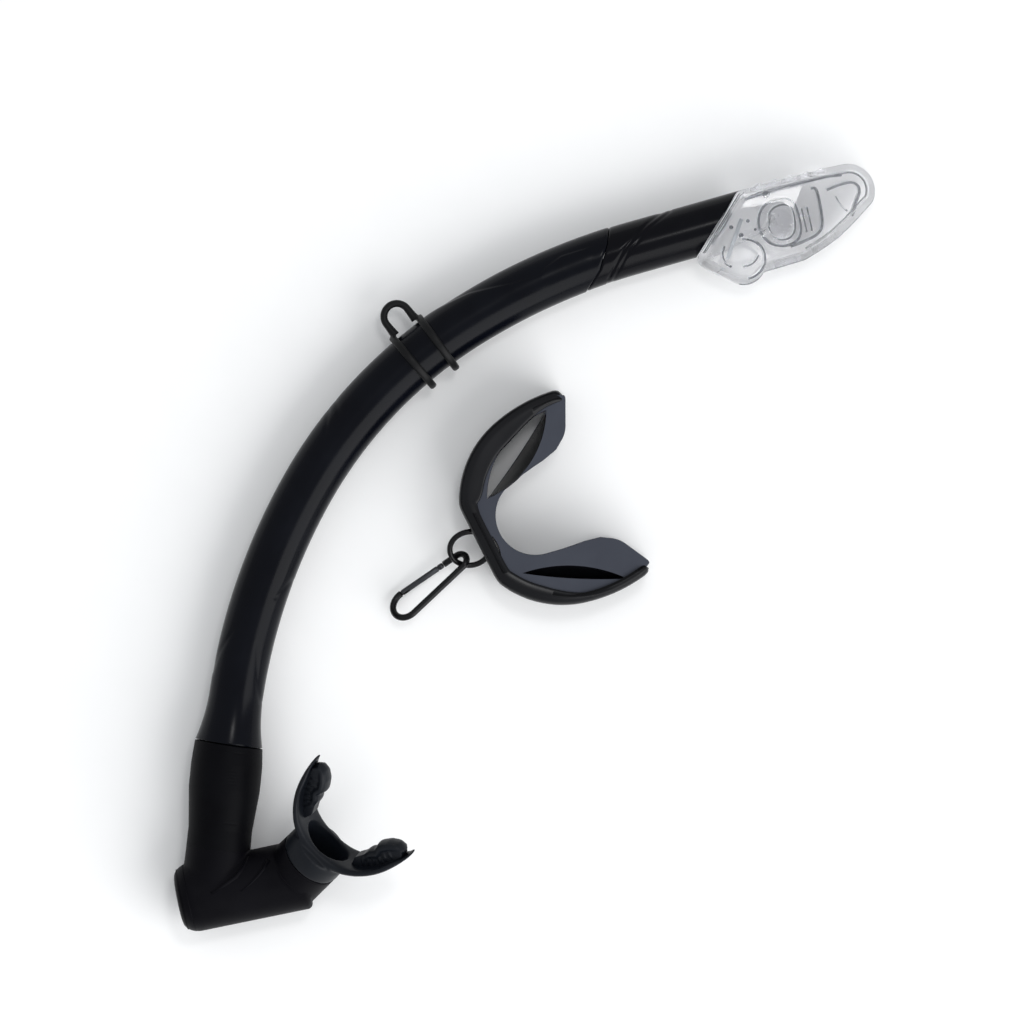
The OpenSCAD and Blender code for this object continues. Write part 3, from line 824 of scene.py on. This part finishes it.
def build_head_ribs():
    """Ribs, louvre steps, beads and the drain's rim moulded into the clear head; the ribs' dark tint is
    painted shade and the pale rods beside them are painted highlights.
    """
    up = tuple(HEAD_PLACE.to_3x3() @ Vector((0, 0, 1)))

    def rib(name, points, radius, z, material=RIB, closed=False, flat=1.0):
        smooth = [Vector((p[0], p[1], 0)) for p in points]
        for _ in range(2):
            pairs = list(zip(smooth, smooth[1:] + smooth[:1])) if closed else list(zip(smooth, smooth[1:]))
            cut_in = [q for a, b in pairs for q in (a.lerp(b, 0.25), a.lerp(b, 0.75))]
            smooth = cut_in if closed else smooth[:1] + cut_in + smooth[-1:]
        path = [in_head(p.x, p.y, z) for p in smooth]
        clear_part(swept(name, path, radius * 0.8, material, 10, closed=closed, flat=flat, up=up))
        # The frosted shoulder that a moulded rib has along one side
        # A pale rod along one side of each rib: a painted highlight, standing for the glint on the rib's
        # edge
        shoulder_and_highlight = [in_head(p.x - 0.45, p.y + 0.7, z + 0.2) for p in smooth]
        clear_part(swept(name + "_painted_highlight", shoulder_and_highlight, radius * 0.5, PAINTED_HIGHLIGHT, 10, closed=closed, up=up))

    rib("tip_rib", [(50, 2.6), (56, 3.6), (62.4, 3.4), (64.8, -0.7), (60.5, -6.4), (58, -10.8)], 0.75, 9.4,
        flat=2.2)
    rib("tip_rib_inner", [(53, -1), (54, -5), (56.5, -8.5)], 0.45, 9.8)
    hook = [(43.4, 5.0), (45.9, 4.6), (45.6, -4), (44.5, -12.4), (41.5, -15.2), (37.2, -16.4),
            (28.8, -17.6)]
    rib("j_rib", hook, 0.8, 9.8, flat=2.2)
    for x in (37.2, 39.6):
        rib("bar", [(x, -2.6), (x - 0.2, -13.2)], 0.55, 10.6)
    # The D ring moulded into the front face round the float's window
    ring = [(20, 2.2), (27, 4.2), (34.4, 2.8), (35.6, -6), (34.2, -15), (27, -17.4), (19.5, -14),
            (16.4, -6)]
    rib("d_ring", ring, 0.75, 10.7, closed=True, flat=1.6)
    inner = [(24, 0.4), (30, 1.4), (33.2, -0.8), (33.4, -7), (31.6, -13), (26.5, -14.6), (22, -11.5),
             (20.8, -5.5)]
    rib("d_ring_inner", inner, 0.5, 11.4, closed=True)
    dish = [(0, 0), (0, 1.7), (1.6, 1.6), (2.1, 1.1), (1.7, 0.6), (1.7, 0)]
    clear_part(lathe("boss", in_head(23.8, 6.9, 10.4), up, dish, RIB, 32))
    # The shell's seam on its outline and the step round its tip, drawn as dark-tinted rods, with a pale rod
    # beside the step that is a painted highlight
    for name, depth, z, thick, reach, look in (("seam_line", 0.1, 0.0, 0.42, 2.5, RIB),
                                               ("crown_line", 4.1, 11.6, 0.34, 34.0, RIB),
                                               ("crown_light", 3.2, 11.0, 0.3, 30.0, PAINTED_HIGHLIGHT)):
        loop = inset(resampled(head_outline(), 160), depth)
        first = next(i for i in range(len(loop)) if loop[i - 1].x < reach <= loop[i].x)
        loop = loop[first:] + loop[:first]
        line = []
        for p in loop:
            if p.x < reach:
                break
            line.append(HEAD_PLACE @ Vector((p.x, p.y, z)))
        clear_part(swept(name, line, thick, look, 12, up=up))
    # Back rail, and the steps of its louvres
    rib("rail", [(14, 7.0), (30, 8.0), (50, 8.2), (58, 7.2)], 0.5, 9.8)
    for i in range(5):
        x = 17.5 + 7 * i
        step = [(x, 9.2), (x + 5.6, 9.2), (x + 5.6, 12.7), (x + 4.4, 12.7), (x + 0.4, 11.6)]
        piece = prism("louvre", step, 7.4, 8.6, SHELL, HEAD_PLACE)
        rounded(piece, 0.25, 2, 30)
        clear_part(piece)
    # The drain in the chin: its round rim, its lip and its web
    rib("chin_rim", [(8 + 8.7 * math.cos(math.radians(a)), -18.0 + 8.7 * math.sin(math.radians(a)))
                     for a in range(-95, 95, 10)], 0.75, 11.6)
    rib("chin_lip", [(6.4, -21.2), (9.5, -21.4), (12.4, -20.0), (14.2, -17.8)], 0.4, 13.0)
    rib("chin_web", [(0.6, -10.5), (-1.4, -13.6), (-1.2, -17.5), (1.4, -20)], 0.55, 11.4)
    # Small beads and ribs behind the joint
    for a, b, r in ((5.5, -3.2, 0.9), (8.8, -7.6, 1.1), (13.2, -2.2, 0.8), (11.5, -9.8, 0.7),
                    (15.5, -6.6, 0.6)):
        bead = [(0, 0), (0, r), (0.8, r), (1.3, r * 0.6), (1.5, 0)]
        clear_part(lathe("bead", in_head(a, b, 9.8), up, bead, RIB, 20))
    # The joint's flange inside the tube's slanted end
    for gap, r in ((1.6, 0.5), (3.0, 0.35)):
        line = [(-11 + gap * 1.4, -11.4), (0 + gap * 1.4, -0.4), (10.4 + gap * 1.4, 10.2)]
        rib("flange", line, r, 9.6)


def finish_cad():
    """Materials of the CAD nodes that show as they are."""
    looks = {"float_block": FLOAT, "seat_plate": SHELL, "head_baffle": SHELL, "stop_post": SHELL,
             "float_pin": SHELL, "seat_ring": SEAL, "seal_disc": SEAL, "purge_flap": SEAL,
             "lower_ferrule": INSERT, "splice_tube": INSERT, "purge_seat": INSERT, "gate_pin": GATE}
    for node, look in looks.items():
        piece = frame["nodes"][node]
        piece.data.materials.clear()
        piece.data.materials.append(look)


# ---- Storage clip --------------------------------------------------------------
CLIP_CENTRE = Vector((18.4, 21.3, 0))
CLIP_AXIS = 27.0
CLIP_R = 45.5
CLIP_H = 29.0
CLIP_PLACE = Matrix.Translation(CLIP_CENTRE) @ Matrix.Rotation(math.radians(CLIP_AXIS), 4, "Z")
FLAT_X = -41.5
# Each prong is an arc of a wider circle, between these two headings from its own centre
PRONG_R = 70.0
PRONG_FROM, PRONG_TO = 105.0, 77.2
EDGE_STEP = 1.2
# How far the front plate's top and the rear plate's foot lie inside the rim, and each plate's thickness
PLATE_SET, PLATE_T = 1, 2


def clip_edge(inset_by=0.0, count=120):
    """Outer outline from the upper tip round the back to the lower tip, with its outward normals."""
    run = []
    parts = ((heading(PRONG_FROM) * (CLIP_R - PRONG_R), PRONG_R, PRONG_TO, PRONG_FROM, 14),
             (Vector((0, 0, 0)), CLIP_R, PRONG_FROM, 360 - PRONG_FROM, count),
             (heading(-PRONG_FROM) * (CLIP_R - PRONG_R), PRONG_R, -PRONG_FROM, -PRONG_TO, 14))
    for centre, radius, start, stop, steps in parts:
        for i in range(steps + 1):
            p = centre + heading(start + (stop - start) * i / steps) * (radius - inset_by)
            run.append(Vector((max(p.x, FLAT_X + inset_by), p.y, 0)))
    # Even steps along the outline, with its two corners at the flat eased a little
    even = [run[0]]
    for a, b in zip(run, run[1:]):
        while (b - even[-1]).length > EDGE_STEP:
            even.append(even[-1] + (b - even[-1]).normalized() * EDGE_STEP)
    for _ in range(4):
        even = even[:1] + [(a + b * 2 + c) / 4 for a, b, c in zip(even, even[1:], even[2:])] + even[-1:]
    sides = [(b - a).normalized() for a, b in zip([even[0]] + even, even + [even[-1]])]
    sides[0], sides[-1] = sides[1], sides[-2]
    ways = [(a + b).normalized() for a, b in zip(sides, sides[1:])]
    return [(p, Vector((way.y, -way.x, 0))) for p, way in zip(even, ways)]


def eased(before, corner, after, size, count=8):
    """A rounded corner: a curve that leaves the corner's two sides at a distance from it."""
    before, corner, after = Vector((*before, 0)), Vector((*corner, 0)), Vector((*after, 0))
    start = corner + (before - corner).normalized() * size
    stop = corner + (after - corner).normalized() * size
    steps = [i / count for i in range(count + 1)]
    return [start * (1 - t) ** 2 + corner * 2 * t * (1 - t) + stop * t * t for t in steps]


PRONG_TIP, PRONG_CORNER, PRONG_ROOT = (22.9, 42.0), (14.8, 26), (8, 21.6)


def cavity_outline():
    """The edge of the space that the folded snorkel goes into, from one prong's tip to the other's."""
    upper = eased((17, 41.4), PRONG_TIP, PRONG_CORNER, 3.2)[2:]
    upper += eased(PRONG_TIP, PRONG_CORNER, PRONG_ROOT, 3.4)
    upper += [Vector((*PRONG_ROOT, 0)), Vector((1, 20.0, 0)), Vector((-4, 19.4, 0)), Vector((-10, 18.5, 0))]
    lower = [Vector((p.x, -p.y, 0)) for p in upper]
    back = arc((-13.3, 0, 0), 17.5, 259.2, 100.8, 36)
    return lower + back + list(reversed(upper))


def lens(a, b, left, right, count=24):
    """Two arcs between a and b, bulging by the heights given."""
    a, b = Vector((*a, 0)), Vector((*b, 0))
    half = (b - a).length / 2
    along = (b - a).normalized()
    side = Vector((-along.y, along.x, 0))
    points = []
    for bulge, sign in ((left, 1), (right, -1)):
        radius = (half * half + bulge * bulge) / (2 * bulge)
        sweep = math.asin(min(1, half / radius))
        middle = (a + b) / 2 + side * sign * (bulge - radius)
        for i in range(count):
            t = -sweep + 2 * sweep * i / count
            points.append(middle + along * sign * radius * math.sin(t) + side * sign * radius * math.cos(t))
    return points


TIP_ROUND = 4.0
UPPER_WINDOW = ((-29, 16), (12, 39))
LOWER_WINDOW = ((-30, -20), (10, -43))
SLIT = ((-34.3, 0.8), (-34.9, -9.4))


def plate(name, node, low, high, bulges):
    """One of the clip's two C-shaped plates, with its windows."""
    reach = [p for p, _ in clip_edge(2.1)]
    edge = [p for p in reach if p.x < 19 or abs(p.y) < PRONG_CORNER[1]]
    windows = [lens(*UPPER_WINDOW, *bulges[0]), lens(*LOWER_WINDOW, *bulges[1]), lens(*SLIT, 0.9, 0.9, 8)]
    piece = prism(name, edge + cavity_outline(), low, high, PLATE, CLIP_PLACE, windows)
    rounded(piece, 0.5, 3, 40)
    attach(piece, "storage_clip")
    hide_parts(node)


def window_arc(a, b, bulge, count=26):
    """A flat arc from a to b, bulging to the left of that way, or to its right if bulge is negative."""
    a, b = Vector((*a, 0)), Vector((*b, 0))
    along = (b - a).normalized()
    side = Vector((-along.y, along.x, 0))
    steps = [i / count for i in range(count + 1)]
    return [a.lerp(b, t) + side * bulge * 4 * t * (1 - t) for t in steps]


def window_shade_wall(name, ends, front_bulge, rear_bulge, inward):
    """A dark gloss wall inside a window, sloping from the front plate's edge to the rear plate's: painted
    shade, drawn where the rear plate's margin lies in shade under the front plate.
    """
    front, rear = window_arc(*ends, front_bulge), window_arc(*ends, rear_bulge)
    rings = []
    for p, q in zip(front[1:-1], rear[1:-1]):
        shift = Vector(inward) * 0.5
        section = [(p, CLIP_H - 1.6), (q, 2.2), (q + shift, 2.2), (p + shift, CLIP_H - 1.6)]
        rings.append([CLIP_PLACE @ Vector((c.x, c.y, z)) for c, z in section])
    piece = skin(name, rings, RIM, smooth=False)
    rounded(piece, 0.15, 2, 50)
    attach(piece, "storage_clip")


def rim_section(lip):
    """The rim's cross-section as (place outward from the outline, height), round its closed edge."""
    shoulder_and_highlight = [(-lip, 0.97), (-lip + 0.15, 0.35), (-lip + 0.9, 0.06), (-lip * 0.62, 0.0)]
    turn = [math.pi / 2 * i / 8 for i in range(9)]
    shoulder_and_highlight += [(-4.4 + 4.4 * math.sin(a), 4.4 * (1 - math.cos(a))) for a in turn]
    shoulder_and_highlight += [(0, 9.0)]
    outer = shoulder_and_highlight + [(n, CLIP_H - z) for n, z in reversed(shoulder_and_highlight)]
    channel = [(-3.6, 1.0), (-2.5, 1.8), (-2.1, 4)]
    return outer + [(n, CLIP_H - z) for n, z in channel] + list(reversed(channel))


def build_clip():
    top = CLIP_H - PLATE_SET
    plate("clip_front_skin", "clip_front_plate", top - PLATE_T, top, ((7.2, 7.0), (4.5, 1.2)))
    plate("clip_rear_skin", "clip_rear_plate", PLATE_SET, PLATE_SET + PLATE_T, ((7.2, 0.8), (1.2, 1.2)))
    # The dark gloss walls in the two windows are painted shade over the rear plate's shaded margin
    window_shade_wall("upper_window_shade_wall", UPPER_WINDOW, -7.0, -0.8, (0.49, -0.87, 0))
    window_shade_wall("lower_window_shade_wall", LOWER_WINDOW, 4.5, -1.2, (0.5, 0.86, 0))
    run = clip_edge()
    rings = []
    for i, (p, out) in enumerate(run):
        t = abs(2 * i / (len(run) - 1) - 1)
        # The lip is widest beside the upper window, and narrow along the lower prong
        if i < len(run) / 2:
            lip, lean = 6.8 + 3.6 * smooth_step(0.1, 0.3, t) - 4.8 * smooth_step(0.6, 0.98, t), 1
        else:
            lip, lean = 6.8 + 0.8 * smooth_step(0.1, 0.3, t) - 4.4 * smooth_step(0.4, 0.8, t), -1
        # The outer corner of each tip is rounded off
        left = min(1, min((p - run[0][0]).length, (p - run[-1][0]).length) / TIP_ROUND)
        width = 1 - 0.5 * (1 - math.sqrt(1 - (1 - left) ** 2))
        taper = 1 - 0.06 * (1 - left)
        along = Vector((out.y, -out.x, 0)) * smooth_step(0.75, 1.0, t)
        ring = []
        for n, z in rim_section(lip):
            q = p + out * (-lip + (n + lip) * width) + along * lean * n * 0.2
            ring.append(CLIP_PLACE @ Vector((q.x, q.y, CLIP_H / 2 + (z - CLIP_H / 2) * taper)))
        rings.append(ring)
    rim = skin("clip_rim_skin", rings, RIM)
    for low, high in ((2, 9.5), (-9.5, -2)):
        slot = rectangle(FLAT_X - 2, FLAT_X + 4, low, high)
        cut(rim, prism("tool", slot, CLIP_H / 2 - 8, CLIP_H / 2 + 8, RIM, CLIP_PLACE))
    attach(rim, "storage_clip")
    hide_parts("clip_rim")


# ---- Ring and carabiner --------------------------------------------------------
RING_R = 8.9
RING_WIRE = 1.25
RING_SLOPE, RING_ROLL, RING_HANG = 12.0, -32.0, 5.2
CARABINER_HEADING, CARABINER_SLOPE, CARABINER_ROLL = 218.9, 5.0, 40.0
LINK_BACK = 0.8
SMALL_R, BIG_R, BODY_LEN, NOSE_AT = 3.6, 6.6, 30.2, 6.6
HOOK_WIRE = 1.45


def placed(at, turn, slope, roll):
    return (Matrix.Translation(at) @ Matrix.Rotation(math.radians(turn), 4, "Z")
            @ Matrix.Rotation(math.radians(slope), 4, "Y") @ Matrix.Rotation(math.radians(roll), 4, "X"))


def build_ring():
    place = placed(joint_pos("ring_swing"), 180 + CLIP_AXIS, RING_SLOPE, RING_ROLL)
    path = [place @ Vector((RING_HANG + RING_R * math.cos(a), RING_R * math.sin(a), 0))
            for a in [2 * math.pi * i / 72 for i in range(72)]]
    up = tuple(place.to_3x3() @ Vector((0, 0, 1)))
    piece = swept("ring_skin", path, RING_WIRE, WIRE, 20, closed=True, up=up)
    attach(piece, "lanyard_ring")
    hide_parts("lanyard_ring")


def build_carabiner():
    place = placed(joint_pos("carabiner_swing"), CARABINER_HEADING, CARABINER_SLOPE, CARABINER_ROLL)
    place = place @ Matrix.Translation((-LINK_BACK, 0, 0)) @ Matrix.Scale(-1, 4, (0, 1, 0))
    up = tuple(place.to_3x3() @ Vector((0, 0, 1)))
    flank = math.asin((BIG_R - SMALL_R) / BODY_LEN)
    side_len = BODY_LEN * math.cos(flank)
    nose_len = NOSE_AT + SMALL_R * math.sin(flank)

    def side(x, sign):
        return Vector((x * math.cos(flank) - SMALL_R * math.sin(flank),
                       sign * (x * math.sin(flank) + SMALL_R * math.cos(flank)), 0))

    path = [side(nose_len - 0.1, 1), side(nose_len * 0.5, 1)]
    path += [Vector((SMALL_R * math.cos(a), SMALL_R * math.sin(a), 0))
             for a in [math.pi / 2 + flank + (math.pi - 2 * flank) * i / 24 for i in range(25)]]
    path += [side(side_len * i / 16, -1) for i in range(1, 16)]
    path += [Vector((BODY_LEN + BIG_R * math.cos(a), BIG_R * math.sin(a), 0))
             for a in [-math.pi / 2 - flank + (math.pi + 2 * flank) * i / 40 for i in range(41)]]
    wire = swept("hook", [place @ p for p in path], HOOK_WIRE, WIRE, 20, up=up)
    seat = place @ Matrix.Rotation(flank, 4, "Z") @ Matrix.Translation((0, SMALL_R, 0))
    tongue = prism("tongue", rectangle(side_len - 3, side_len + 0.6, -0.9, 0.9), -0.5, 0.5, WIRE, seat)
    piece = joined("carabiner_skin", [wire, tongue])
    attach(piece, "carabiner")
    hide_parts("carabiner_frame")
    start, stop = nose_len + 0.25, side_len - 0.4
    profile = [(start, 0), (start, 0.9), (start + 0.5, 1.3), (start + 2.2, 1.3), (start + 2.5, 1.05),
               (start + 2.9, 1.05), (start + 3.2, 1.3), (stop - 0.5, 1.3), (stop, 0.9), (stop, 0)]
    gate = lathe("gate_skin", seat.translation, seat.to_3x3().col[0], profile, GATE, 28)
    cut(gate, prism("tool", rectangle(side_len - 4.2, side_len + 2, -3, 3), -0.62, 0.62, GATE, seat))
    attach(gate, "gate")
    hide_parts("gate")


# ---- Floor, light and camera -----------------------------------------------------
def build_stage():
    material, tree, shader = nodes_of("pale_floor")
    paper = noise(tree, 60, 4)
    tree.links.new(tinted(tree, paper, (0.95, 0.95, 0.95), (0.96, 0.96, 0.96)), shader.inputs["Base Color"])
    fill(shader, {"Roughness": 0.95, "Specular IOR Level": 0.1})
    reach, drop = 4000, 0.3
    corners = [(x, y, -drop) for x, y in rectangle(-reach, reach, -reach, reach)]
    floor = mesh("floor", corners, [(0, 1, 2, 3)], material, smooth=False)
    world = bpy.data.worlds.new("studio")
    world.use_nodes = True
    fill(world.node_tree.nodes["Background"], {"Color": (0.96, 0.98, 1.0, 1), "Strength": 0.70})
    bpy.context.scene.world = world
    for name, at, size, power in (("key", (1.25, -1.1, 1.15), 2.0, 36),
                                  ("glint", (0.2, 0.45, 1.6), 0.25, 3.0)):
        light = bpy.data.lights.new(name, "AREA")
        light.shape = "SQUARE"
        light.size = size
        light.energy = power
        lamp = bpy.data.objects.new(name, light)
        lamp.location = at
        lamp.rotation_euler = (Vector((0, 0, 0)) - Vector(at)).to_track_quat("-Z", "Y").to_euler()
        bpy.context.scene.collection.objects.link(lamp)
    bpy.context.scene.view_settings.view_transform = "Standard"


def build_camera():
    view_width, distance = 0.4506, 3.0
    camera = bpy.data.cameras.new("camera")
    camera.sensor_width = 36
    camera.lens = camera.sensor_width * distance / view_width
    camera.clip_end = 50
    holder = bpy.data.objects.new("camera", camera)
    holder.location = (-0.0037, 0.0167, AXIS_Z * MM + distance)
    bpy.context.scene.collection.objects.link(holder)
    bpy.context.scene.camera = holder


build_camera()
build_stage()
build_barrel()
build_upper_tube()
build_sleeve()
build_chamber()
build_purge_cover()
build_mouthpiece()
build_bite_pads()
build_keeper()
build_head_shell()
build_head_ribs()
build_clip()
build_ring()
build_carabiner()
finish_cad()
